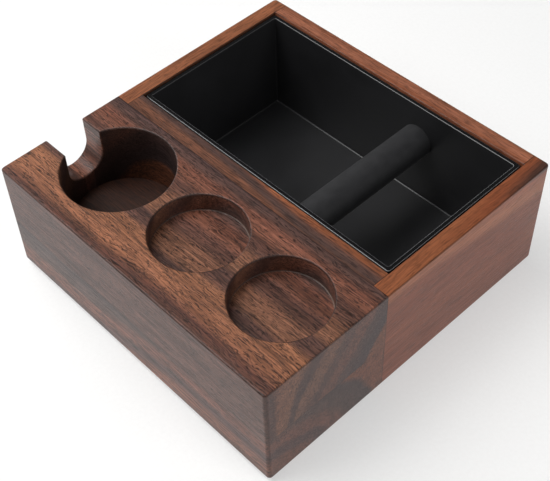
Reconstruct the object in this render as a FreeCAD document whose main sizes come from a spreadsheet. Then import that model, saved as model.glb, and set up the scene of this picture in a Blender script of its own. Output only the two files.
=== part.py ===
import FreeCAD, Part
import os
import re
import Sketcher

# A wooden knock box: a block of two hardwood layers with a portafilter socket and two tamper recesses
# across the front, a four-board tray frame behind it, and a plastic bin with a padded knock bar in it.
# The origin is the centre of the footprint on the surface the feet stand on. +X runs to the right
# along the block, +Y to the back and +Z up.

DIMS = {
    # the wooden outside
    "wood_width": 236,
    "wood_depth": 236,
    "wood_height": 86,
    "foot_proud": 1.5,
    "corner_round": 2.5,
    "bottom_round": 4.5,
    "top_round": 1.1,
    # block and frame boards
    "block_depth": 93,
    "lower_layer": 41,
    "side_thick": 11,
    "back_thick": 11,
    "rail_thick": 12.5,
    "opening_round": 0.7,
    # socket, recesses and notch in the block
    "socket_radius": 36,
    "recess_radius": 30,
    "recess_depth": 13.4,
    "left_margin": 16.3,
    "web": 8.2,
    "row_from_front": 51.5,
    "notch_width": 28,
    "notch_depth": 30.5,
    "notch_from_front": 49.5,
    "floor_round": 0.8,
    # base panel and its wood screws
    "base_thick": 6,
    "rebate_width": 6,
    "panel_play": 0.2,
    "screw_inset": 3,
    "screw_spread_x": 55,
    "screw_spread_y": 32,
    "wood_screw_head": 2.8,
    "wood_screw_cone": 1.8,
    "wood_screw_shank": 1.5,
    "wood_screw_long": 14,
    "wood_screw_tip": 3,
    "cross_long": 3,
    "cross_wide": 0.7,
    "cross_deep": 1,
    # dowels
    "dowel_radius": 3,
    "dowel_long": 22,
    "dowel_chamfer": 0.5,
    "glue_room": 0.5,
    "dowel_in_side": 7.5,
    "dowel_in_rail": 9,
    "wall_dowel_low": 17,
    "wall_dowel_high": 69,
    "rail_end_low": 34,
    "rail_end_high": 53,
    "back_corner_low": 24,
    "back_corner_high": 64,
    "rail_face_height": 24,
    "rail_face_spread": 75,
    # bin
    "bin_wall": 2.8,
    "bin_floor": 3,
    "bin_drop": 1.5,
    "gap_tight": 0.5,
    "gap_loose": 1.5,
    "bin_outer_round": 2,
    "bin_inner_round": 1.2,
    "bin_rim_round": 0.5,
    # knock bar and its low-head M5 bolts
    "bar_from_left": 146.5,
    "bar_below_top": 29.5,
    "bar_end_gap": 0.05,
    "sleeve_radius": 11.5,
    "tube_radius": 8,
    "tube_thick": 1.5,
    "plug_long": 16,
    "bolt_radius": 2.5,
    "bolt_long": 12,
    "bolt_head": 5,
    "bolt_head_thick": 1.3,
    "bolt_hole": 2.8,
    "counterbore_radius": 5.3,
    "counterbore_deep": 1.5,
    "hex_radius": 1.73,
    "hex_deep": 0.9,
    # feet
    "foot_radius": 7,
    "foot_thick": 3,
    "foot_edge": 0.6,
    "foot_pocket": 7.3,
    "front_foot_inset": 20,
    "back_foot_inset": 24,
}

doc = FreeCAD.newDocument("knock_box")
sheet = doc.addObject("Spreadsheet::Sheet", "dims")
for row, (alias, value) in enumerate(DIMS.items(), start=1):
    sheet.set(f"A{row}", alias)
    sheet.set(f"B{row}", str(value))
    sheet.setAlias(f"B{row}", alias)
doc.recompute()

# Places that several pieces share, as sums of sheet names.
TOP = "(foot_proud + wood_height)"
LEFT = "(-wood_width / 2)"
RIGHT = "(wood_width / 2)"
FRONT = "(-wood_depth / 2)"
BACK = "(wood_depth / 2)"
BLOCK_REAR = f"({FRONT} + block_depth)"
GLUE_LINE = "(foot_proud + lower_layer)"
OPENING_LEFT = f"({LEFT} + side_thick)"
OPENING_RIGHT = f"({RIGHT} - side_thick)"
OPENING_FRONT = f"({BLOCK_REAR} + rail_thick)"
OPENING_BACK = f"({BACK} - back_thick)"
SOCKET_X = f"({LEFT} + left_margin + socket_radius)"
RECESS_X = [
    f"({SOCKET_X} + socket_radius + web + recess_radius)",
    f"({SOCKET_X} + socket_radius + 2 * web + 3 * recess_radius)",
]
ROW_Y = f"({FRONT} + row_from_front)"
BIN_LEFT = f"({OPENING_LEFT} + gap_tight)"
BIN_RIGHT = f"({OPENING_RIGHT} - gap_loose)"
BIN_FRONT = f"({OPENING_FRONT} + gap_loose)"
BIN_BACK = f"({OPENING_BACK} - gap_tight)"
BIN_BOTTOM = "(foot_proud + base_thick)"
BIN_TOP = f"({TOP} - bin_drop)"
BAR_X = f"({LEFT} + bar_from_left)"
BAR_Z = f"({TOP} - bar_below_top)"
BAR_START = f"({BIN_FRONT} + bin_wall + bar_end_gap)"
BAR_END = f"({BIN_BACK} - bin_wall - bar_end_gap)"
X, Y, Z = (1, 0, 0), (0, 1, 0), (0, 0, 1)


def mm(places):
    """An expression in millimetres from a sum of sheet names."""
    return "(" + re.sub("[a-z_]+", lambda word: "dims." + word.group(), str(places)) + ") * 1 mm"


def value(places):
    """The number that a sum of sheet names comes to."""
    return sheet.evalExpression(mm(places)).Value


# ------------------------------------------------------------------ primitives and booleans


def set_place(solid, start):
    """Bind where a solid starts."""
    for name, places in zip("xyz", start):
        solid.setExpression(f"Placement.Base.{name}", mm(places))


def box(name, low, high):
    """A box between two corners."""
    solid = doc.addObject("Part::Box", name)
    for side, first, last in zip(("Length", "Width", "Height"), low, high):
        solid.setExpression(side, mm(f"({last}) - ({first})"))
    set_place(solid, low)
    return solid


def along(solid, start, axis):
    """Turn a solid that was made along Z to an axis, and bind where it starts."""
    turn = FreeCAD.Rotation(FreeCAD.Vector(*Z), FreeCAD.Vector(*axis))
    solid.Placement = FreeCAD.Placement(FreeCAD.Vector(), turn)
    set_place(solid, start)
    return solid


def rod(name, radius, length, start, axis=Z):
    """A cylinder from the centre of its first end."""
    solid = doc.addObject("Part::Cylinder", name)
    solid.setExpression("Radius", mm(radius))
    solid.setExpression("Height", mm(length))
    return along(solid, start, axis)


def cone(name, first, last, length, start, axis=Z):
    """A cone from the centre of its first end."""
    solid = doc.addObject("Part::Cone", name)
    solid.setExpression("Radius1", mm(first))
    solid.setExpression("Radius2", mm(last))
    solid.setExpression("Height", mm(length))
    return along(solid, start, axis)


def boolean(kind, name, base, tool):
    """A Cut or Common of two solids."""
    result = doc.addObject(f"Part::{kind}", name)
    result.Base = base
    result.Tool = tool
    return result


def fuse(name, solids):
    """Several solids made one, or one tool."""
    result = doc.addObject("Part::MultiFuse", name)
    result.Shapes = solids
    return result


def group(name, solids):
    """Separate solids kept together as one sub-part."""
    result = doc.addObject("Part::Compound", name)
    result.Links = solids
    return result


# ------------------------------------------------------------------ sketches and features


def sketch_on(body, name, level, role="XY_Plane"):
    """A sketch parallel to one of the body's own planes, at a level."""
    sketch = body.newObject("Sketcher::SketchObject", name)
    plane = next(item for item in body.Origin.OriginFeatures if item.Role == role)
    sketch.AttachmentSupport = [(plane, "")]
    sketch.MapMode = "FlatFace"
    sketch.setExpression("AttachmentOffset.Base.z", mm(level))
    return sketch


def pin_point(sketch, geometry, point, places):
    """Bind a point of the sketch to its two distances from the origin."""
    for kind, distance in zip(("DistanceX", "DistanceY"), places):
        index = sketch.addConstraint(Sketcher.Constraint(kind, -1, 1, geometry, point, value(distance)))
        sketch.setExpression(f"Constraints[{index}]", mm(distance))


def draw_rectangle(sketch, low, high):
    """A rectangle with sides along the axes, pinned at two corners."""
    x0, y0, x1, y1 = [value(places) for places in (*low, *high)]
    corners = [(x0, y0), (x1, y0), (x1, y1), (x0, y1)]
    sides = []
    for start, end in zip(corners, corners[1:] + corners[:1]):
        segment = Part.LineSegment(FreeCAD.Vector(*start, 0), FreeCAD.Vector(*end, 0))
        sides.append(sketch.addGeometry(segment, False))
    for side, following in zip(sides, sides[1:] + sides[:1]):
        sketch.addConstraint(Sketcher.Constraint("Coincident", side, 2, following, 1))
    for side, kind in zip(sides, ("Horizontal", "Vertical") * 2):
        sketch.addConstraint(Sketcher.Constraint(kind, side))
    pin_point(sketch, sides[0], 1, low)
    pin_point(sketch, sides[2], 1, high)


def draw_circle(sketch, centre, radius):
    """A circle pinned at its centre."""
    middle = FreeCAD.Vector(value(centre[0]), value(centre[1]), 0)
    circle = Part.Circle(middle, FreeCAD.Vector(*Z), value(radius))
    geometry = sketch.addGeometry(circle, False)
    pin_point(sketch, geometry, 3, centre)
    index = sketch.addConstraint(Sketcher.Constraint("Radius", geometry, value(radius)))
    sketch.setExpression(f"Constraints[{index}]", mm(radius))


def pad(body, sketch, length):
    """Extrude a sketch along its normal."""
    feature = body.newObject("PartDesign::Pad", sketch.Name + "_pad")
    feature.Profile = sketch
    feature.setExpression("Length", mm(length))
    doc.recompute()


def pocket(body, sketch, length):
    """Cut a sketch into the body against its normal, and see that it cuts."""
    before = body.Shape.Volume
    feature = body.newObject("PartDesign::Pocket", sketch.Name + "_pocket")
    feature.Profile = sketch
    feature.setExpression("Length", mm(length))
    doc.recompute()
    if body.Shape.Volume > before - 1:
        raise RuntimeError(f"{sketch.Name} cuts nothing")


def round_edges(body, name, radius, wanted):
    """Round the edges of the body's last feature that pass a test."""
    base = body.Tip
    edges = [f"Edge{i}" for i, edge in enumerate(base.Shape.Edges, start=1) if wanted(edge)]
    feature = body.newObject("PartDesign::Fillet", name)
    feature.Base = (base, edges)
    feature.setExpression("Radius", mm(radius))
    doc.recompute()


def near(first, second):
    """Whether two lengths agree to a hundredth of a millimetre."""
    return abs(first - second) < 0.01


def is_upright(edge):
    """A straight edge along Z."""
    return near(edge.BoundBox.XLength, 0) and near(edge.BoundBox.YLength, 0)


def lies_at(edge, level):
    """An edge that lies flat at a level."""
    return near(edge.BoundBox.ZMin, level) and near(edge.BoundBox.ZMax, level)


def at_joint(edge):
    """An edge of the block's rear face, where it meets the frame."""
    return near(edge.CenterOfMass.y, value(BLOCK_REAR))


def new_body(name):
    """An empty body."""
    return doc.addObject("PartDesign::Body", name)


# ------------------------------------------------------------------ dowels, and the holes they sit in


def dowel_joint(name, ends):
    """Chamfered dowels for one joint, and the slightly deeper holes that leave room for glue."""
    dowels = []
    holes = []
    for number, (start, axis) in enumerate(ends, start=1):
        blank = rod(f"{name}_blank_{number}", "dowel_radius", "dowel_long", start, axis)
        dowel = doc.addObject("Part::Chamfer", f"{name}_{number}")
        dowel.Base = blank
        doc.recompute()
        rims = [i for i, edge in enumerate(blank.Shape.Edges, start=1) if edge.Closed]
        dowel.Edges = [(rim, value("dowel_chamfer"), value("dowel_chamfer")) for rim in rims]
        dowels.append(dowel)
        deeper = [f"{places} - {part} * glue_room" for places, part in zip(start, axis)]
        holes.append(rod(f"{name}_hole_{number}", "dowel_radius", "dowel_long + 2 * glue_room", deeper, axis))
    group(name, dowels)
    return holes


def side_dowels(name, place_y, heights):
    """Dowels from the end of a cross board into both side walls."""
    ends = []
    for height in heights:
        level = f"foot_proud + {height}"
        ends.append(((f"{OPENING_LEFT} - dowel_in_side", place_y, level), X))
        ends.append(((f"{OPENING_RIGHT} + dowel_in_side", place_y, level), (-1, 0, 0)))
    return dowel_joint(name, ends)


wall_ends = []
for height in ("wall_dowel_low", "wall_dowel_high"):
    for middle in (f"{LEFT} + side_thick / 2", f"{RIGHT} - side_thick / 2"):
        wall_ends.append(((middle, f"{BLOCK_REAR} - dowel_long / 2", f"foot_proud + {height}"), Y))
wall_holes = dowel_joint("wall_to_block_dowels", wall_ends)

rail_ends = []
for across in ("-rail_face_spread", "rail_face_spread"):
    start = (across, f"{BLOCK_REAR} + dowel_in_rail - dowel_long", "foot_proud + rail_face_height")
    rail_ends.append((start, Y))
rail_holes = dowel_joint("rail_to_block_dowels", rail_ends)
rail_end_heights = ("rail_end_low", "rail_end_high")
rail_end_holes = side_dowels("rail_end_dowels", f"{BLOCK_REAR} + rail_thick / 2", rail_end_heights)
corner_heights = ("back_corner_low", "back_corner_high")
corner_holes = side_dowels("back_corner_dowels", f"{BACK} - back_thick / 2", corner_heights)


# ------------------------------------------------------------------ feet and their shallow pockets


def make_foot(name, middle_x, middle_y):
    """A silicone pad, and the pocket under the wood that it is stuck into."""
    foot = new_body(name)
    outline = sketch_on(foot, f"{name}_outline", "0")
    draw_circle(outline, (middle_x, middle_y), "foot_radius")
    pad(foot, outline, "foot_thick")
    round_edges(foot, f"{name}_edge", "foot_edge", lambda edge: lies_at(edge, 0))
    return rod(f"{name}_pocket", "foot_pocket", "foot_thick", (middle_x, middle_y, 0))


front_feet = []
back_feet = []
for side, edge_x, inward in (("left", LEFT, "+"), ("right", RIGHT, "-")):
    front_x = f"{edge_x} {inward} front_foot_inset"
    back_x = f"{edge_x} {inward} back_foot_inset"
    front_feet.append(make_foot(f"foot_front_{side}", front_x, f"{FRONT} + front_foot_inset"))
    back_feet.append(make_foot(f"foot_back_{side}", back_x, f"{BACK} - back_foot_inset"))


# ------------------------------------------------------------------ the block at the front


def holder_block():
    """The whole hardwood block, with its socket, notch and recesses. The socket ends at the glue line."""
    top, bottom = value(TOP), value("foot_proud")
    block = new_body("block_form")
    plan = sketch_on(block, "block_plan", "foot_proud")
    draw_rectangle(plan, (LEFT, FRONT), (RIGHT, BLOCK_REAR))
    pad(block, plan, "wood_height")
    round_edges(block, "block_bottom", "bottom_round", lambda e: lies_at(e, bottom) and not at_joint(e))
    round_edges(block, "block_corners", "corner_round", lambda e: is_upright(e) and not at_joint(e))

    socket = sketch_on(block, "socket", TOP)
    draw_circle(socket, (SOCKET_X, ROW_Y), "socket_radius")
    pocket(block, socket, f"{TOP} - {GLUE_LINE}")
    recesses = sketch_on(block, "recesses", TOP)
    for middle in RECESS_X:
        draw_circle(recesses, (middle, ROW_Y), "recess_radius")
    pocket(block, recesses, "recess_depth")

    inside = f"{LEFT} + left_margin + socket_radius / 2"
    notch_y = f"({FRONT} + notch_from_front)"
    notch_middle = f"({TOP} - notch_depth + notch_width / 2)"
    slot = sketch_on(block, "notch_slot", inside, "YZ_Plane")
    low = (f"{notch_y} - notch_width / 2", notch_middle)
    high = (f"{notch_y} + notch_width / 2", f"{TOP} + 1")
    draw_rectangle(slot, low, high)
    pocket(block, slot, "left_margin + socket_radius")
    bottom = sketch_on(block, "notch_bottom", inside, "YZ_Plane")
    draw_circle(bottom, (notch_y, notch_middle), "notch_width / 2")
    pocket(block, bottom, "left_margin + socket_radius")

    round_edges(block, "block_top", "top_round", lambda e: is_notch_mouth(e) or is_top(e, top))
    recess_floor = value(f"{TOP} - recess_depth")
    round_edges(block, "block_floors", "floor_round", lambda e: lies_at(e, recess_floor))
    return block


def is_top(edge, top):
    """An edge of the block's top face, except the joint behind it."""
    return lies_at(edge, top) and not at_joint(edge)


def is_notch_mouth(edge):
    """An edge of the notch on the block's end face or on the wall of the socket."""
    bounds = edge.BoundBox
    inside_notch = bounds.ZMin > value(f"{TOP} - notch_depth") - 1 and bounds.XMax < value(SOCKET_X)
    through_wall = near(bounds.YLength, 0) and near(bounds.ZLength, 0)
    off_middle = abs(edge.CenterOfMass.y - value(f"{FRONT} + notch_from_front"))
    return inside_notch and off_middle <= value("notch_width") / 2 and not through_wall


whole_block = holder_block()
layers = {
    "holder_block_upper": (GLUE_LINE, TOP, wall_holes[2:]),
    "holder_block_lower": ("foot_proud", GLUE_LINE, wall_holes[:2] + rail_holes + front_feet),
}
for name, (low, high, holes) in layers.items():
    blank = box(f"{name}_blank", (LEFT, FRONT, low), (RIGHT, BLOCK_REAR, high))
    layer = boolean("Common", f"{name}_form", whole_block, blank)
    boolean("Cut", name, layer, fuse(f"{name}_holes", holes))


# ------------------------------------------------------------------ the four boards of the tray frame


def outer_form():
    """The wooden outside after sanding, open where the bin drops in: every board is a piece of it."""
    bottom, top = value("foot_proud"), value(TOP)
    form = new_body("outer_form")
    plan = sketch_on(form, "form_plan", "foot_proud")
    draw_rectangle(plan, (LEFT, FRONT), (RIGHT, BACK))
    pad(form, plan, "wood_height")
    round_edges(form, "form_bottom", "bottom_round", lambda e: lies_at(e, bottom))
    round_edges(form, "form_corners", "corner_round", is_upright)
    round_edges(form, "form_top", "top_round", lambda e: lies_at(e, top))
    opening = sketch_on(form, "opening", TOP)
    draw_rectangle(opening, (OPENING_LEFT, OPENING_FRONT), (OPENING_RIGHT, OPENING_BACK))
    pocket(form, opening, "wood_height")
    round_edges(form, "form_opening", "opening_round", lambda e: lies_at(e, top) and is_inner(e))
    return form


def is_inner(edge):
    """An edge round the opening of the frame, well inside the outer faces."""
    middle = edge.CenterOfMass
    across = abs(middle.x) < value(RIGHT) - value("side_thick") / 2
    return across and value(BLOCK_REAR) < middle.y < value(BACK) - value("back_thick") / 2


PANEL_LOW = (f"{OPENING_LEFT} - rebate_width", f"{OPENING_FRONT} - rebate_width")
PANEL_HIGH = (f"{OPENING_RIGHT} + rebate_width", f"{OPENING_BACK} + rebate_width")


def wood_screws():
    """Countersunk screws, two along each side of the base panel."""
    middle_y = f"({OPENING_FRONT} + {OPENING_BACK}) / 2"
    spots = []
    for part in (-1, 1):
        spots.append((f"{PANEL_LOW[0]} + screw_inset", f"{middle_y} + {part} * screw_spread_y"))
        spots.append((f"{PANEL_HIGH[0]} - screw_inset", f"{middle_y} + {part} * screw_spread_y"))
        spots.append((f"{part} * screw_spread_x", f"{PANEL_LOW[1]} + screw_inset"))
        spots.append((f"{part} * screw_spread_x", f"{PANEL_HIGH[1]} - screw_inset"))
    screws = []
    forms = []
    for number, (x, y) in enumerate(spots, start=1):
        name = f"wood_screw_{number}"
        thread = "wood_screw_shank"
        above = "foot_proud + wood_screw_cone"
        tip = "foot_proud + wood_screw_long"
        form = fuse(f"{name}_form", [
            cone(f"{name}_head", "wood_screw_head", thread, "wood_screw_cone", (x, y, "foot_proud")),
            rod(f"{name}_shank", thread, "wood_screw_long - wood_screw_cone", (x, y, above)),
            cone(f"{name}_tip", thread, f"{thread} / 5", "wood_screw_tip", (x, y, tip)),
        ])
        forms.append(form)
        deep = "foot_proud + cross_deep"
        half_long, half_wide = "cross_long / 2", "cross_wide / 2"
        cross = fuse(f"{name}_cross", [
            box(f"{name}_slot_x", (f"{x} - {half_long}", f"{y} - {half_wide}", 0),
                (f"{x} + {half_long}", f"{y} + {half_wide}", deep)),
            box(f"{name}_slot_y", (f"{x} - {half_wide}", f"{y} - {half_long}", 0),
                (f"{x} + {half_wide}", f"{y} + {half_long}", deep)),
        ])
        screws.append(boolean("Cut", name, form, cross))
    group("base_screws", screws)
    return forms


sanded = outer_form()
screw_forms = wood_screws()
rebate = box("rebate", (*PANEL_LOW, 0), (*PANEL_HIGH, BIN_BOTTOM))
boards = {
    "frame_left_wall": (LEFT, BLOCK_REAR, OPENING_LEFT, BACK),
    "frame_right_wall": (OPENING_RIGHT, BLOCK_REAR, RIGHT, BACK),
    "frame_front_rail": (OPENING_LEFT, BLOCK_REAR, OPENING_RIGHT, OPENING_FRONT),
    "frame_back_wall": (OPENING_LEFT, OPENING_BACK, OPENING_RIGHT, BACK),
}
frame_tools = [rebate, *screw_forms, *wall_holes, *rail_holes, *rail_end_holes, *corner_holes]
for name, (low_x, low_y, high_x, high_y) in boards.items():
    blank = box(f"{name}_blank", (low_x, low_y, "foot_proud"), (high_x, high_y, TOP))
    rounded = boolean("Common", f"{name}_rounded", blank, sanded)
    boolean("Cut", name, rounded, fuse(f"{name}_tools", frame_tools))

panel_low = [f"{places} + panel_play" for places in PANEL_LOW]
panel_high = [f"{places} - panel_play" for places in PANEL_HIGH]
panel = box("panel_blank", (*panel_low, "foot_proud"), (*panel_high, BIN_BOTTOM))
boolean("Cut", "base_panel", panel, fuse("panel_tools", screw_forms + back_feet))


# ------------------------------------------------------------------ the bin


def bin_form():
    """The moulded bin: an open box with rounded edges."""
    bottom, top = value(BIN_BOTTOM), value(BIN_TOP)
    floor = bottom + value("bin_floor")
    form = new_body("bin_form")
    plan = sketch_on(form, "bin_plan", BIN_BOTTOM)
    draw_rectangle(plan, (BIN_LEFT, BIN_FRONT), (BIN_RIGHT, BIN_BACK))
    pad(form, plan, f"{BIN_TOP} - {BIN_BOTTOM}")
    round_edges(form, "bin_outer", "bin_outer_round", lambda e: is_upright(e) or lies_at(e, bottom))
    hollow = sketch_on(form, "hollow", BIN_TOP)
    low = (f"{BIN_LEFT} + bin_wall", f"{BIN_FRONT} + bin_wall")
    high = (f"{BIN_RIGHT} - bin_wall", f"{BIN_BACK} - bin_wall")
    draw_rectangle(hollow, low, high)
    pocket(form, hollow, f"{BIN_TOP} - {BIN_BOTTOM} - bin_floor")
    inner = lambda e: near(e.BoundBox.ZMin, floor) and (is_upright(e) or lies_at(e, floor))
    round_edges(form, "bin_inner", "bin_inner_round", inner)
    round_edges(form, "bin_rim", "bin_rim_round", lambda e: lies_at(e, top))
    return form


bolt_clearances = []
for end, outer_face, sign in (("front", BIN_FRONT, 1), ("back", BIN_BACK, -1)):
    start = (BAR_X, outer_face, BAR_Z)
    inward = (0, sign, 0)
    bolt_clearances.append(rod(f"bolt_hole_{end}", "bolt_hole", "2 * bin_wall", start, inward))
    bolt_clearances.append(rod(f"counterbore_{end}", "counterbore_radius", "counterbore_deep", start, inward))
boolean("Cut", "knock_bin", bin_form(), fuse("bolt_clearances", bolt_clearances))


# ------------------------------------------------------------------ the knock bar


def tube(name, outer, inner):
    """A tube that spans the bin from front to back."""
    length = f"{BAR_END} - {BAR_START}"
    start = (BAR_X, BAR_START, BAR_Z)
    wall = rod(f"{name}_wall", outer, length, start, Y)
    bore = rod(f"{name}_bore", inner, length, start, Y)
    return boolean("Cut", name, wall, bore)


tube("bar_sleeve", "sleeve_radius", "tube_radius")
tube("bar_tube", "tube_radius", "tube_radius - tube_thick")
for end, bar_end, outer_face, sign in (("front", BAR_START, BIN_FRONT, 1), ("back", BAR_END, BIN_BACK, -1)):
    inward = (0, sign, 0)
    mouth = (BAR_X, bar_end, BAR_Z)
    plug = rod(f"plug_form_{end}", "tube_radius - tube_thick", "plug_long", mouth, inward)
    thread = rod(f"plug_thread_{end}", "bolt_radius", "bolt_long", mouth, inward)
    boolean("Cut", f"bar_plug_{end}", plug, thread)

    seat = f"{outer_face} + {sign} * counterbore_deep"
    head_start = (BAR_X, f"{seat} - {sign} * bolt_head_thick", BAR_Z)
    shank = rod(f"bolt_shank_{end}", "bolt_radius", "bolt_long", (BAR_X, seat, BAR_Z), inward)
    head = rod(f"bolt_head_{end}", "bolt_head", "bolt_head_thick", head_start, inward)
    bolt = fuse(f"bolt_form_{end}", [shank, head])
    hexagon = doc.addObject("Part::Prism", f"bolt_socket_{end}")
    hexagon.Polygon = 6
    hexagon.setExpression("Circumradius", mm("hex_radius"))
    hexagon.setExpression("Height", mm("hex_deep"))
    along(hexagon, head_start, inward)
    boolean("Cut", f"bar_screw_{end}", bolt, hexagon)


# ------------------------------------------------------------------ check every piece and write it

PIECES = [
    "holder_block_upper",
    "holder_block_lower",
    "frame_left_wall",
    "frame_right_wall",
    "frame_front_rail",
    "frame_back_wall",
    "base_panel",
    "wall_to_block_dowels",
    "rail_to_block_dowels",
    "rail_end_dowels",
    "back_corner_dowels",
    "base_screws",
    "foot_front_left",
    "foot_front_right",
    "foot_back_left",
    "foot_back_right",
    "knock_bin",
    "bar_sleeve",
    "bar_tube",
    "bar_plug_front",
    "bar_plug_back",
    "bar_screw_front",
    "bar_screw_back",
]

doc.recompute()
for item in doc.Objects:
    if "Invalid" in item.State or "Error" in item.State:
        raise RuntimeError(f"{item.Name} failed: {item.State}")
os.makedirs("parts", exist_ok=True)
for name in PIECES:
    shape = doc.getObject(name).Shape
    if shape.isNull() or not shape.isValid():
        raise RuntimeError(f"{name} has no valid shape")
    print(f"{name}: {len(shape.Solids)} solids, {shape.Volume / 1000:.2f} cm3")
    shape.exportStep(f"parts/{name}.step")
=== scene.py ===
import bpy
import math
from mathutils import Matrix, Vector


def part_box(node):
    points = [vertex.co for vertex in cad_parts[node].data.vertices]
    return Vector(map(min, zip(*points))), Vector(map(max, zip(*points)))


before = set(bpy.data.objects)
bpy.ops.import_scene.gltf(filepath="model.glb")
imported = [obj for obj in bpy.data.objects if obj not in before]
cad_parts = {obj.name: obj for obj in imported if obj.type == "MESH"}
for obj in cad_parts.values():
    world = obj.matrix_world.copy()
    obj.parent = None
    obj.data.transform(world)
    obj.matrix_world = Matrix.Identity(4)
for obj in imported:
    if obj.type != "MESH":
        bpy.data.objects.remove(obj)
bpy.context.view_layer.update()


# ---------------------------------------------------------------- the two layers of the front block
# Two thick planks of dark figured acacia are glued face to face, and the socket and recesses are
# bored from above. Each plank keeps the rings it grew with, so the bands change at the glue line.


def colour(hex_code):
    """Linear colour from an sRGB hex value."""
    parts = [int(hex_code[i:i + 2], 16) / 255 for i in (1, 3, 5)]
    return (*[p / 12.92 if p <= 0.04045 else ((p + 0.055) / 1.055) ** 2.4 for p in parts], 1)


def add(tree, kind, settings, links=None):
    """One node. Settings are its properties, inputs or ramp stops; links join outputs to inputs."""
    node = tree.nodes.new("ShaderNode" + kind)
    for key, value in settings.items():
        if key == "stops":
            elements = node.color_ramp.elements
            while len(elements) < len(value):
                elements.new(1)
            for element, (place, shade) in zip(elements, value):
                element.position = place
            for element, (place, shade) in zip(elements, value):
                element.color = colour(shade)
        elif isinstance(key, str) and hasattr(node, key):
            setattr(node, key, value)
        else:
            node.inputs[key].default_value = value
    for key, socket in (links or {}).items():
        tree.links.new(socket, node.inputs[key])
    return node


def new_material(name):
    """An empty node material and its surface output."""
    material = bpy.data.materials.new(name)
    material.use_nodes = True
    tree = material.node_tree
    tree.nodes.clear()
    return material, tree, tree.nodes.new("ShaderNodeOutputMaterial")


def finish_with(material, *names):
    """Gives CAD pieces their finish."""
    for name in names:
        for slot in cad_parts[name].material_slots:
            slot.material = material


block_low, block_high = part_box("holder_block_lower")[0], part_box("holder_block_upper")[1]
block_rear = block_high.y
block_top_mm, block_front_mm = block_high.z * 1000, block_low.y * 1000
glue_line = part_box("holder_block_upper")[0].z
recess_depth = 0.0134
recess_floor = block_high.z - recess_depth
# between the socket and the first recess
recess_start = block_low.x + 0.093
# where the socket takes over from the notch, which was sanded smooth like the outside
notch_end = block_low.x + 0.0165


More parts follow.
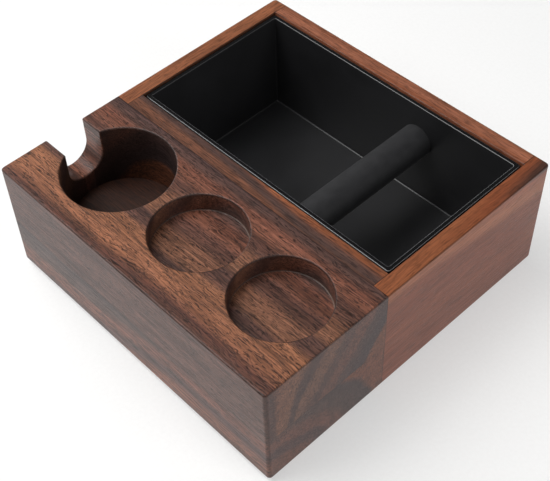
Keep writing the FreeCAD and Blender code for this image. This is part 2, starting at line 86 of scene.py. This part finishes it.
def oiled_acacia(name, turn, pith, rings, drift=(0, 1, 0, 0), lean=0, curl=1.5, figure=1,
                 seams=(), end_shade="#2a1b1b", cut_faces=()):
    """Sanded, oiled acacia: brown and orange bands with fibres, pores and a curly shimmer.

    Lengths are in millimetres. turn lays the grain along X. pith is the middle of the tree as
    y, z and 1 for round rings or 0 for flat layers. rings pair a radius with its colour. drift
    moves the rings between two places along the grain, as from, to, first shift, last shift.
    lean adds radius for each millimetre below the top. curl is the reach of the waves and figure
    the strength of the grain. seams are glue lines, and cut_faces the ranges of a routed face.
    """
    material, tree, out = new_material(name)
    place = add(tree, "TexCoord", {})
    # object space in millimetres, turned so that the grain runs along X
    grain = add(tree, "Mapping", {"Scale": (1000, 1000, 1000), "Rotation": (0, 0, turn)},
                {"Vector": place.outputs["Object"]}).outputs["Vector"]
    parts = add(tree, "SeparateXYZ", {}, {0: grain})

    # slow bends of the trunk, 150 mm along the grain and 30 mm across it
    bend_reach = 10
    bend_space = add(tree, "VectorMath", {"operation": "MULTIPLY", 1: (1 / 150, 1 / 30, 1 / 30)},
                     {0: grain})
    bend = add(tree, "TexNoise", {"Scale": 1, "Detail": 3, "Roughness": 0.55},
               {"Vector": bend_space.outputs[0]})
    bent = add(tree, "VectorMath", {"operation": "MULTIPLY_ADD", 1: (0, bend_reach, bend_reach)},
               {0: bend.outputs["Color"], 2: grain})
    pith_y, pith_z, round_rings = pith
    middle_y, middle_z = pith_y + bend_reach / 2, pith_z + bend_reach / 2
    across = add(tree, "VectorMath", {"operation": "MULTIPLY_ADD", 1: (0, 1, round_rings),
                                      2: (0, -middle_y, -middle_z * round_rings)},
                 {0: bent.outputs[0]})
    radius = add(tree, "VectorMath", {"operation": "LENGTH"},
                 {0: across.outputs[0]}).outputs["Value"]

    # the rings drift sideways along the plank, and lean over below its top towards the front
    drifted = add(tree, "MapRange", {"interpolation_type": "SMOOTHSTEP", "From Min": drift[0],
                                     "From Max": drift[1], "To Min": drift[2],
                                     "To Max": drift[3]}, {"Value": parts.outputs["X"]})
    ring = add(tree, "Math", {"operation": "ADD"}, {0: radius, 1: drifted.outputs[0]}).outputs[0]
    if lean:
        lean_reach = 28
        below_top = add(tree, "Math", {"operation": "SUBTRACT", 0: block_top_mm},
                        {1: parts.outputs["Z"]})
        leaning = add(tree, "MapRange", {"interpolation_type": "SMOOTHSTEP",
                                         "From Min": block_front_mm,
                                         "From Max": block_front_mm + lean_reach,
                                         "To Max": lean}, {"Value": parts.outputs["Y"]})
        ring = add(tree, "Math", {"operation": "MULTIPLY_ADD"},
                   {0: below_top.outputs[0], 1: leaning.outputs[0], 2: ring}).outputs[0]

    first, last = rings[0][0], rings[-1][0]
    along_rings = add(tree, "MapRange", {"From Min": first, "From Max": last}, {"Value": ring})
    stops = [((ring_radius - first) / (last - first), shade) for ring_radius, shade in rings]
    band = add(tree, "ValToRGB", {"stops": stops}, {"Fac": along_rings.outputs["Result"]})

    # dark mineral streaks 6 mm wide and 120 mm long
    streak_space = add(tree, "VectorMath", {"operation": "MULTIPLY", 1: (1 / 120, 1 / 6, 1 / 6)},
                       {0: bent.outputs[0]})
    streak = add(tree, "TexNoise", {"Scale": 1, "Detail": 4, "Roughness": 0.65},
                 {"Vector": streak_space.outputs[0]})
    streaked = add(tree, "MapRange", {"From Min": 0.36, "From Max": 0.62,
                                      "To Min": 1 - 0.22 * figure, "To Max": 1 + 0.18 * figure},
                   {"Value": streak.outputs["Fac"]})

    # the curl: fibres wave in and out of the surface every 7 mm or so
    curl_space = add(tree, "VectorMath", {"operation": "MULTIPLY", 1: (1 / 7, 1 / 6, 1 / 6)},
                     {0: grain})
    curls = add(tree, "TexNoise", {"Scale": 1, "Detail": 2}, {"Vector": curl_space.outputs[0]})
    waved = add(tree, "VectorMath", {"operation": "MULTIPLY_ADD", 1: (0, curl, curl)},
                {0: curls.outputs["Color"], 2: bent.outputs[0]})

    # fibre bundles 0.9 mm wide and 35 mm long, coarser than the real 0.5 mm so that they show
    fibre_space = add(tree, "VectorMath", {"operation": "MULTIPLY", 1: (1 / 35, 1 / 0.9, 1 / 0.9)},
                      {0: bent.outputs[0]})
    fibre = add(tree, "TexNoise", {"Scale": 1, "Detail": 4, "Roughness": 0.7},
                {"Vector": fibre_space.outputs[0]})
    fibred = add(tree, "MapRange", {"From Min": 0.38, "From Max": 0.62,
                                    "To Min": 1 - 0.42 * figure, "To Max": 1 + 0.38 * figure},
                 {"Value": fibre.outputs["Fac"]})

    # open pores: dark dashes 8 mm long that turn to dots on the end grain. They are 0.6 mm wide,
    # coarser than the real 0.2 mm, so that they show
    pore_space = add(tree, "VectorMath", {"operation": "MULTIPLY", 1: (1 / 8, 1 / 0.6, 1 / 0.6)},
                     {0: waved.outputs[0]})
    pore_noise = add(tree, "TexNoise", {"Scale": 1, "Detail": 1},
                     {"Vector": pore_space.outputs[0]})
    pore = add(tree, "MapRange", {"From Min": 0.5, "From Max": 0.66},
               {"Value": pore_noise.outputs["Fac"]}).outputs["Result"]
    depth = add(tree, "Math", {"operation": "MULTIPLY"},
                {0: streaked.outputs[0], 1: fibred.outputs[0]})
    toned = add(tree, "VectorMath", {"operation": "SCALE"},
                {0: band.outputs["Color"], "Scale": depth.outputs[0]})
    pore_dark = add(tree, "Math", {"operation": "MULTIPLY", 1: 0.7 * figure}, {0: pore})
    pored = add(tree, "Mix", {"data_type": "RGBA", 7: colour("#1c0e09")},
                {0: pore_dark.outputs[0], 6: toned.outputs[0]})

    # end grain drinks more oil, so it is darker and greyer
    normal = add(tree, "Mapping", {"vector_type": "VECTOR", "Rotation": (0, 0, turn)},
                 {"Vector": place.outputs["Normal"]})
    facing = add(tree, "SeparateXYZ", {}, {0: normal.outputs[0]})
    on_end = add(tree, "Math", {"operation": "ABSOLUTE"}, {0: facing.outputs["X"]})
    end = add(tree, "MapRange", {"From Min": 0.7, "From Max": 0.95, "To Max": 0.5},
              {"Value": on_end.outputs[0]}).outputs["Result"]
    paint = add(tree, "Mix", {"data_type": "RGBA", 7: colour(end_shade)},
                {0: end, 6: pored.outputs[2]}).outputs[2]

    # painted shade along the rounded edges, which face between two axes, darkens them
    most = None
    for axis in "XYZ":
        share = add(tree, "Math", {"operation": "ABSOLUTE"}, {0: facing.outputs[axis]}).outputs[0]
        most = add(tree, "Math", {"operation": "MAXIMUM"},
                   {0: share, 1: most}).outputs[0] if most else share
    painted_edge_shade = add(tree, "MapRange", {"From Min": 0.985, "From Max": 0.9, "To Max": 0.42},
                    {"Value": most})
    paint = add(tree, "Mix", {"data_type": "RGBA", 7: colour("#20130f")},
                {0: painted_edge_shade.outputs[0], 6: paint}).outputs[2]

    # routed faces are rougher and duller, and painted shade darkens their colour: the shade inside
    # the socket and the recesses
    model = add(tree, "SeparateXYZ", {}, {0: place.outputs["Object"]})
    cut = None
    if cut_faces:
        up = add(tree, "Math", {"operation": "ABSOLUTE"}, {0: facing.outputs["Z"]})
        for way, low, high in cut_faces:
            value = up.outputs[0] if way == "up" else model.outputs[way]
            off = add(tree, "Math", {"operation": "SUBTRACT", 1: (low + high) / 2}, {0: value})
            away = add(tree, "Math", {"operation": "ABSOLUTE"}, {0: off.outputs[0]})
            within = add(tree, "Math", {"operation": "LESS_THAN", 1: (high - low) / 2},
                         {0: away.outputs[0]}).outputs[0]
            cut = add(tree, "Math", {"operation": "MULTIPLY"},
                      {0: within, 1: cut}).outputs[0] if cut else within
        painted_recess_shade = add(tree, "Math", {"operation": "MULTIPLY", 1: 0.56}, {0: cut})
        paint = add(tree, "Mix", {"data_type": "RGBA", 7: colour("#1a0e0a")},
                    {0: painted_recess_shade.outputs[0], 6: paint}).outputs[2]

        # a painted highlight: a pale line, 0.7 mm high, where the wall of a recess meets its floor.
        # It is strongest on the right, on the faces that look towards the light
        low_enough = add(tree, "MapRange", {"From Min": recess_floor + 0.0008,
                                            "From Max": recess_floor + 0.0006},
                         {"Value": model.outputs["Z"]})
        past_socket = add(tree, "Math", {"operation": "GREATER_THAN", 1: recess_start},
                          {0: model.outputs["X"]})
        above_floor = add(tree, "Math", {"operation": "GREATER_THAN", 1: recess_floor},
                          {0: model.outputs["Z"]})
        fillet_highlight = add(tree, "MapRange", {"From Min": 0.6, "From Max": -0.9, "To Min": 0.05,
                                      "To Max": 0.45}, {"Value": facing.outputs["X"]})
        for mask in (low_enough.outputs[0], past_socket.outputs[0], above_floor.outputs[0], cut):
            fillet_highlight = add(tree, "Math", {"operation": "MULTIPLY"}, {0: fillet_highlight.outputs[0], 1: mask})
        paint = add(tree, "Mix", {"data_type": "RGBA", 7: colour("#b39a8a")},
                    {0: fillet_highlight.outputs[0], 6: paint}).outputs[2]

    # glue lines: dark squeeze-out that fades over 0.4 mm on each side of a joint
    for axis, level in seams:
        off = add(tree, "Math", {"operation": "SUBTRACT", 1: level}, {0: model.outputs[axis]})
        away = add(tree, "Math", {"operation": "ABSOLUTE"}, {0: off.outputs[0]})
        glue = add(tree, "MapRange", {"From Min": 0.0004, "From Max": 0.0001, "To Max": 0.75},
                   {"Value": away.outputs[0]})
        paint = add(tree, "Mix", {"data_type": "RGBA", 7: colour("#1d110d")},
                    {0: glue.outputs[0], 6: paint}).outputs[2]

    # the oil leaves a low sheen that breaks up over fibres and pores 0.12 mm deep
    rough = add(tree, "MapRange", {"From Min": 0.35, "From Max": 0.65, "To Min": 0.38,
                                   "To Max": 0.28}, {"Value": fibre.outputs["Fac"]})
    height = add(tree, "Math", {"operation": "SUBTRACT"}, {0: fibre.outputs["Fac"], 1: pore})
    bump = add(tree, "Bump", {"Strength": 0.4, "Distance": 0.00012}, {"Height": height.outputs[0]})
    if cut:
        rough = add(tree, "Math", {"operation": "MULTIPLY_ADD", 1: 0.22},
                    {0: cut, 2: rough.outputs[0]})
    surface = add(tree, "BsdfPrincipled", {"IOR": 1.36},
                  {"Base Color": paint, "Roughness": rough.outputs[0], "Normal": bump.outputs[0]})
    tree.links.new(surface.outputs[0], out.inputs["Surface"])
    return material


# a routed face lies inside the block's outer skin, which is 3 mm, or 2 mm at the rear joint
inside_x = ("X", notch_end, block_high.x - 0.003)
inside_y = ("Y", block_low.y + 0.003, block_rear - 0.002)

# the upper plank's layers stand nearly upright: radius 1000 is its middle, less is nearer the front
upper_rings = [
    (880, "#62443a"), (889, "#5c3a30"), (895, "#8a5a42"), (914, "#8f5f45"), (919, "#5d4037"),
    (927, "#553b34"), (932, "#855b46"), (943, "#7c5441"), (948, "#624338"), (954, "#5f4037"),
    (959, "#7a4f3f"), (967, "#774b3c"), (972, "#5b423b"), (980, "#503b38"), (984, "#4b3c3c"),
    (991, "#493a3a"), (995, "#8c5337"), (1010, "#8c5337"),
]
# its routed faces are walls, which don't face up
finish_with(
    oiled_acacia("oiled acacia, upper plank", 0, (-1000, 0, 0), upper_rings,
                 drift=(-118, 118, 5, 0), lean=0.8, curl=3.4, figure=1.2,
                 seams=[("Z", glue_line), ("Y", block_rear)],
                 cut_faces=[("up", 0, 0.85), inside_x, inside_y]),
    "holder_block_upper")

# the middle of the tree lay just below the lower plank's front edge, so its rings curve
lower_rings = [
    (20, "#5a3b33"), (34, "#63423a"), (40, "#845340"), (47, "#80503e"), (52, "#5f413b"),
    (57, "#593d38"), (62, "#805040"), (69, "#774b3c"), (75, "#5c443c"), (91, "#4b3937"),
    (95, "#8a4f33"), (130, "#8a4f33"),
]
# its only routed face is the socket's floor, level with the glue line
finish_with(
    oiled_acacia("oiled acacia, lower plank", 0, (-118, -30, 1), lower_rings,
                 drift=(-60, 55, 20, 0), figure=1.2,
                 seams=[("Z", glue_line), ("Y", block_rear)],
                 cut_faces=[("Z", glue_line - 0.0005, glue_line + 0.0005), inside_x, inside_y]),
    "holder_block_lower")


# ---------------------------------------------------------------- the four boards of the tray frame
# Two side walls run to the back, with a rail and a back wall between them, dowelled and glued.
# They are cut from paler, more orange acacia with a few dark streaks, sanded flush with the block.

right_angle = math.pi / 2
opening_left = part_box("frame_front_rail")[0].x
opening_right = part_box("frame_front_rail")[1].x
end_of_board = "#7a4c36"

left_rings = [
    (880, "#8c5539"), (887, "#96603f"), (894, "#75493a"), (930, "#8a5740"), (960, "#84523c"),
    (1010, "#8c573c"),
]
finish_with(
    oiled_acacia("oiled acacia, left wall", -right_angle, (-1000, 0, 0), left_rings, figure=0.7,
                 seams=[("Y", block_rear), ("X", opening_left)], end_shade=end_of_board),
    "frame_left_wall")

# dark at the outer top edge, orange across the top, and redder down the outer face
right_rings = [
    (0, "#46302a"), (8, "#4c332a"), (12, "#84492f"), (19, "#8d5437"), (24, "#8a5236"),
    (30, "#733c26"), (48, "#6d3824"), (62, "#77402a"), (80, "#703b27"), (110, "#77402b"),
]
finish_with(
    oiled_acacia("oiled acacia, right wall", -right_angle, (-118, 93, 1), right_rings,
                 drift=(0, 118, 12, 1), figure=0.5,
                 seams=[("Y", block_rear), ("X", opening_right)], end_shade=end_of_board),
    "frame_right_wall")

rail_rings = [
    (960, "#5d3f33"), (973, "#6c4635"), (977, "#4d3a35"), (980, "#553c34"), (983, "#8a5236"),
    (1000, "#905a3b"),
]
finish_with(
    oiled_acacia("oiled acacia, front rail", 0, (-1000, 0, 0), rail_rings,
                 drift=(-30, 60, -9, 0), figure=0.85,
                 seams=[("Y", block_rear), ("X", opening_left), ("X", opening_right)],
                 end_shade=end_of_board),
    "frame_front_rail")

back_rings = [
    (1100, "#7a4630"), (1108, "#8a5239"), (1112, "#98614a"), (1116, "#8c5740"),
    (1125, "#7a4833"),
]
finish_with(
    oiled_acacia("oiled acacia, back wall", 0, (-1000, 0, 0), back_rings, figure=0.7,
                 seams=[("X", opening_left), ("X", opening_right)], end_shade=end_of_board),
    "frame_back_wall")


# ---------------------------------------------------------------- the base panel
# A 6 mm plywood panel, screwed into a rebate under the frame, carries the bin. It is stained brown
# to match the boards, and its edges are hidden in the rebate.


def stained_plywood():
    """Rotary-cut veneer under a brown stain: broad wavy grain and fine dark pores."""
    material, tree, out = new_material("stained plywood")
    place = add(tree, "TexCoord", {})
    # grain about 170 mm long and 18 mm wide
    long_space = add(tree, "VectorMath", {"operation": "MULTIPLY", 1: (6, 55, 55)},
                     {0: place.outputs["Object"]})
    veneer = add(tree, "TexNoise", {"Scale": 1, "Detail": 4, "Distortion": 1.2},
                 {"Vector": long_space.outputs[0]})
    face = add(tree, "ValToRGB", {"stops": [(0.3, "#5e3f2c"), (0.5, "#7b573c"), (0.7, "#8f6a4a")]},
               {"Fac": veneer.outputs["Fac"]})
    # pores about 7 mm long and 0.9 mm wide, coarser than the real 0.3 mm so that they show
    pore_space = add(tree, "VectorMath", {"operation": "MULTIPLY", 1: (150, 1100, 1100)},
                     {0: place.outputs["Object"]})
    pores = add(tree, "TexNoise", {"Scale": 1, "Detail": 2}, {"Vector": pore_space.outputs[0]})
    pore = add(tree, "MapRange", {"From Min": 0.36, "From Max": 0.3},
               {"Value": pores.outputs["Fac"]})
    painted = add(tree, "Mix", {"data_type": "RGBA", 7: colour("#3a2418")},
                  {0: pore.outputs[0], 6: face.outputs["Color"]})
    bump = add(tree, "Bump", {"Strength": 0.3, "Distance": 0.0002},
               {"Height": pores.outputs["Fac"]})
    surface = add(tree, "BsdfPrincipled", {"Roughness": 0.62, "IOR": 1.5},
                  {"Base Color": painted.outputs[2], "Normal": bump.outputs[0]})
    tree.links.new(surface.outputs[0], out.inputs["Surface"])
    return material


finish_with(stained_plywood(), "base_panel")


# ---------------------------------------------------------------- dowels
# Plain beech dowels, 6 mm thick and glued in blind holes, hold every joint of the block and frame.
# None of them shows from outside.


def plain_beech():
    """Turned beech: pale pinkish tan with dark flecks about 1 mm across."""
    material, tree, out = new_material("plain beech")
    place = add(tree, "TexCoord", {})
    fleck = add(tree, "TexNoise", {"Scale": 900, "Detail": 2}, {"Vector": place.outputs["Object"]})
    shade = add(tree, "ValToRGB",
                {"stops": [(0.35, "#a5764f"), (0.5, "#c99b6d"), (0.7, "#d6ab7d")]},
                {"Fac": fleck.outputs["Fac"]})
    surface = add(tree, "BsdfPrincipled", {"Roughness": 0.6, "IOR": 1.5},
                  {"Base Color": shade.outputs["Color"]})
    tree.links.new(surface.outputs[0], out.inputs["Surface"])
    return material


finish_with(plain_beech(), "wall_to_block_dowels", "rail_to_block_dowels", "rail_end_dowels",
            "back_corner_dowels")


# ---------------------------------------------------------------- steel: screws, tube, plugs, bolts
# Countersunk screws hold the base panel. A drawn tube, two turned plugs and two low-head bolts
# carry the bar's sleeve inside the bin.


def steel(name, pale, dark, roughness, marks_per_metre):
    """Bare or plated steel: a grey metal with fine machining marks that break up its shine."""
    material, tree, out = new_material(name)
    place = add(tree, "TexCoord", {})
    space = add(tree, "VectorMath", {"operation": "MULTIPLY", 1: marks_per_metre},
                {0: place.outputs["Object"]})
    marks = add(tree, "TexNoise", {"Scale": 1, "Detail": 3, "Roughness": 0.65},
                {"Vector": space.outputs[0]})
    shade = add(tree, "ValToRGB", {"stops": [(0.3, dark), (0.65, pale)]},
                {"Fac": marks.outputs["Fac"]})
    rough = add(tree, "MapRange", {"To Min": roughness - 0.1, "To Max": roughness + 0.15},
                {"Value": marks.outputs["Fac"]})
    bump = add(tree, "Bump", {"Strength": 0.2, "Distance": 0.00005},
               {"Height": marks.outputs["Fac"]})
    surface = add(tree, "BsdfPrincipled", {"Metallic": 1},
                  {"Base Color": shade.outputs["Color"], "Roughness": rough.outputs[0],
                   "Normal": bump.outputs[0]})
    tree.links.new(surface.outputs[0], out.inputs["Surface"])
    return material


turning_marks = (2500, 2500, 2500)
finish_with(steel("zinc-plated steel", "#c9c7bd", "#9a9b97", 0.38, (1500, 1500, 1500)),
            "base_screws")
# drawing leaves long marks down the length of the tube
finish_with(steel("drawn stainless tube", "#bdbdbb", "#8f9092", 0.3, (3000, 90, 3000)), "bar_tube")
finish_with(steel("turned steel", "#b4b4b2", "#87888a", 0.34, turning_marks),
            "bar_plug_front", "bar_plug_back")
finish_with(steel("stainless bolts", "#c4c4c2", "#939495", 0.3, turning_marks),
            "bar_screw_front", "bar_screw_back")


# ---------------------------------------------------------------- the feet
# Four round silicone pads, moulded in black and stuck into shallow pockets.


def silicone(name, base, lint, roughness):
    """Silicone rubber: dark and matte, with a faint mottle and pale lint that clings to it."""
    material, tree, out = new_material(name)
    place = add(tree, "TexCoord", {})
    # a mottle 7 mm across, and a skin texture of 0.4 mm
    mottle = add(tree, "TexNoise", {"Scale": 140, "Detail": 4},
                 {"Vector": place.outputs["Object"]})
    shade = add(tree, "ValToRGB", {"stops": [(0.3, base), (0.75, lint)]},
                {"Fac": mottle.outputs["Fac"]})
    skin = add(tree, "TexNoise", {"Scale": 2600, "Detail": 2}, {"Vector": place.outputs["Object"]})
    bump = add(tree, "Bump", {"Strength": 0.3, "Distance": 0.00006},
               {"Height": skin.outputs["Fac"]})
    rough = add(tree, "MapRange", {"To Min": roughness - 0.06, "To Max": roughness + 0.1},
                {"Value": mottle.outputs["Fac"]})
    surface = add(tree, "BsdfPrincipled",
                  {"IOR": 1.41, "Sheen Weight": 0.15, "Sheen Roughness": 0.4},
                  {"Base Color": shade.outputs["Color"], "Roughness": rough.outputs[0],
                   "Normal": bump.outputs[0]})
    tree.links.new(surface.outputs[0], out.inputs["Surface"])
    return material


finish_with(silicone("black silicone", "#151515", "#1f1f20", 0.7),
            "foot_front_left", "foot_front_right", "foot_back_left", "foot_back_right")


# ---------------------------------------------------------------- the bin
# A lift-out bin moulded in black ABS, with upright walls and a thin rim. It is satin inside and
# out, and it sits on the base panel, pushed to the left and the back.

bin_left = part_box("knock_bin")[0].x
bin_back, bin_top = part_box("knock_bin")[1].yz
rim_fade = (bin_top - 0.002, bin_top - 0.0008)


def satin_abs():
    """Moulded black ABS: a soft sheen with faint wipe marks, and a painted highlight on rounded
    edges.
    """
    material, tree, out = new_material("satin black ABS")
    place = add(tree, "TexCoord", {})
    # wipe marks 45 mm across
    wipe = add(tree, "TexNoise", {"Scale": 22, "Detail": 4, "Roughness": 0.6, "Distortion": 0.6},
               {"Vector": place.outputs["Object"]})
    shade = add(tree, "ValToRGB", {"stops": [(0.3, "#1e1e1f"), (0.75, "#242426")]},
                {"Fac": wipe.outputs["Fac"]})

    # rounded edges face partly up: a painted highlight makes the rim pale, and the edges of the
    # floor a little
    facing = add(tree, "SeparateXYZ", {}, {0: place.outputs["Normal"]})
    up = add(tree, "Math", {"operation": "ABSOLUTE"}, {0: facing.outputs["Z"]})
    not_upright = add(tree, "MapRange", {"From Min": 0.15, "From Max": 0.4},
                      {"Value": up.outputs[0]})
    not_level = add(tree, "MapRange", {"From Min": 0.98, "From Max": 0.88},
                    {"Value": up.outputs[0]})
    edge = add(tree, "Math", {"operation": "MULTIPLY"},
               {0: not_upright.outputs[0], 1: not_level.outputs[0]})
    model = add(tree, "SeparateXYZ", {}, {0: place.outputs["Object"]})
    rim = add(tree, "MapRange", {"From Min": rim_fade[0], "From Max": rim_fade[1],
                                 "To Min": 0.06, "To Max": 0.75}, {"Value": model.outputs["Z"]})

    # the painted highlight is weaker on the left and back rims, which sit close to the frame, in
    # its shade
    left_rim = add(tree, "MapRange", {"From Min": bin_left + 0.0034, "From Max": bin_left + 0.005,
                                      "To Min": 0.1}, {"Value": model.outputs["X"]})
    back_rim = add(tree, "MapRange", {"From Min": bin_back - 0.004, "From Max": bin_back - 0.0022,
                                      "To Min": 1, "To Max": 0.5}, {"Value": model.outputs["Y"]})
    sides = add(tree, "Math", {"operation": "MULTIPLY"},
                {0: left_rim.outputs[0], 1: back_rim.outputs[0]})
    highlight_near_rim = add(tree, "Math", {"operation": "MULTIPLY"}, {0: edge.outputs[0], 1: rim.outputs[0]})
    painted_edge_highlight = add(tree, "Math", {"operation": "MULTIPLY"},
              {0: highlight_near_rim.outputs[0], 1: sides.outputs[0]})

    # the level face of the rim was flame-polished, so it is glossier than the walls; painted shade
    # makes it darker
    level = add(tree, "MapRange", {"From Min": 0.9, "From Max": 0.99}, {"Value": up.outputs[0]})
    near_top = add(tree, "MapRange", {"From Min": rim_fade[0], "From Max": rim_fade[1]},
                   {"Value": model.outputs["Z"]})
    polish_and_painted_shade = add(tree, "Math", {"operation": "MULTIPLY"},
                 {0: level.outputs[0], 1: near_top.outputs[0]})
    rim_painted_shade = add(tree, "Mix", {"data_type": "RGBA", 7: colour("#0a0a0b")},
                   {0: polish_and_painted_shade.outputs[0], 6: shade.outputs["Color"]})
    edge_highlighted = add(tree, "Mix", {"data_type": "RGBA", 7: colour("#98989a")},
                 {0: painted_edge_highlight.outputs[0], 6: rim_painted_shade.outputs[2]})
    wiped = add(tree, "MapRange", {"From Min": 0.3, "From Max": 0.7, "To Min": 0.3, "To Max": 0.4},
                {"Value": wipe.outputs["Fac"]})
    rough = add(tree, "Math", {"operation": "MULTIPLY_ADD", 1: -0.14},
                {0: polish_and_painted_shade.outputs[0], 2: wiped.outputs[0]})

    # the mould was eroded, which leaves a texture of 0.4 mm
    texture = add(tree, "TexNoise", {"Scale": 2500, "Detail": 2},
                  {"Vector": place.outputs["Object"]})
    bump = add(tree, "Bump", {"Strength": 0.12, "Distance": 0.00005},
               {"Height": texture.outputs["Fac"]})
    surface = add(tree, "BsdfPrincipled", {"IOR": 1.5},
                  {"Base Color": edge_highlighted.outputs[2], "Roughness": rough.outputs[0],
                   "Normal": bump.outputs[0]})
    tree.links.new(surface.outputs[0], out.inputs["Surface"])
    return material


finish_with(satin_abs(), "knock_bin")


# ---------------------------------------------------------------- the knock bar's sleeve
# An extruded sleeve of dark grey silicone, pushed over the tube. It takes the blows.

finish_with(silicone("dark grey silicone", "#1c1c1e", "#272729", 0.62), "bar_sleeve")


# ---------------------------------------------------------------- table, lights and camera
# A pale table of opal acrylic lit from below, a key soft box above its left front corner, two low
# side boxes and a dim room. The camera looks down over the right front corner, 0.75 m away.

half_table = 3
floor_mesh = bpy.data.meshes.new("floor")
floor_mesh.from_pydata([(-half_table, -half_table, 0), (half_table, -half_table, 0),
                        (half_table, half_table, 0), (-half_table, half_table, 0)],
                       [], [(0, 1, 2, 3)])
floor = bpy.data.objects.new("floor", floor_mesh)
bpy.context.scene.collection.objects.link(floor)

# milky white with a haze of 2.5 mm, glowing evenly
acrylic, acrylic_tree, acrylic_out = new_material("backlit opal acrylic")
acrylic_place = add(acrylic_tree, "TexCoord", {})
haze = add(acrylic_tree, "TexNoise", {"Scale": 400, "Detail": 3},
           {"Vector": acrylic_place.outputs["Object"]})
milk = add(acrylic_tree, "ValToRGB", {"stops": [(0.3, "#bdbdbc"), (0.7, "#c1c1c0")]},
           {"Fac": haze.outputs["Fac"]})
acrylic_surface = add(acrylic_tree, "BsdfPrincipled",
                      {"Roughness": 0.9, "Emission Color": (1, 1, 1, 1),
                       "Emission Strength": 0.46},
                      {"Base Color": milk.outputs["Color"]})
acrylic_tree.links.new(acrylic_surface.outputs[0], acrylic_out.inputs["Surface"])
floor_mesh.materials.append(acrylic)


def soft_box(name, place, target, size, power):
    """A square area light aimed at a point."""
    light = bpy.data.lights.new(name, "AREA")
    light.shape = "SQUARE"
    light.size = size
    light.energy = power
    lamp = bpy.data.objects.new(name, light)
    lamp.location = place
    lamp.rotation_mode = "QUATERNION"
    lamp.rotation_quaternion = (Vector(target) - Vector(place)).to_track_quat("-Z", "Y")
    bpy.context.scene.collection.objects.link(lamp)


middle = (0, 0, 0.05)
soft_box("key soft box", (-0.45, -0.45, 1.22), middle, 1.1, 17)
soft_box("left soft box", (-1.15, -0.1, 0.55), middle, 0.7, 5)
soft_box("right soft box", (1.2, 0.1, 0.5), middle, 0.7, 6)

# the room is brightest at table height and dims upwards
room = bpy.data.worlds.new("dim studio room")
room.use_nodes = True
sky = room.node_tree
sky_place = add(sky, "TexCoord", {})
sky_height = add(sky, "SeparateXYZ", {}, {0: sky_place.outputs["Generated"]})
sky_glow = add(sky, "MapRange", {"interpolation_type": "SMOOTHSTEP", "From Min": 0.1,
                                 "From Max": 0.45, "To Min": 0.35, "To Max": 0.12},
               {"Value": sky_height.outputs["Z"]})
sky.links.new(sky_glow.outputs[0], sky.nodes["Background"].inputs["Strength"])
sky.nodes["Background"].inputs["Color"].default_value = (1, 1, 1, 1)
bpy.context.scene.world = room
bpy.context.scene.view_settings.view_transform = "Standard"

lens = bpy.data.cameras.new("camera")
lens.sensor_width = 36
lens.lens = 73.865
lens.shift_x = 0.0636
camera = bpy.data.objects.new("camera", lens)
camera_right = Vector((0.6798178, 0.7318153, -0.0478972))
camera_up = Vector((-0.5282637, 0.5339383, 0.6601873))
camera_back = Vector((0.5087093, -0.4235048, 0.7495723))
camera_place = Vector((0.35911, -0.32757, 0.57164))
camera.matrix_world = Matrix.Translation(camera_place) @ Matrix(
    (camera_right, camera_up, camera_back)).transposed().to_4x4()
bpy.context.scene.collection.objects.link(camera)
bpy.context.scene.camera = camera
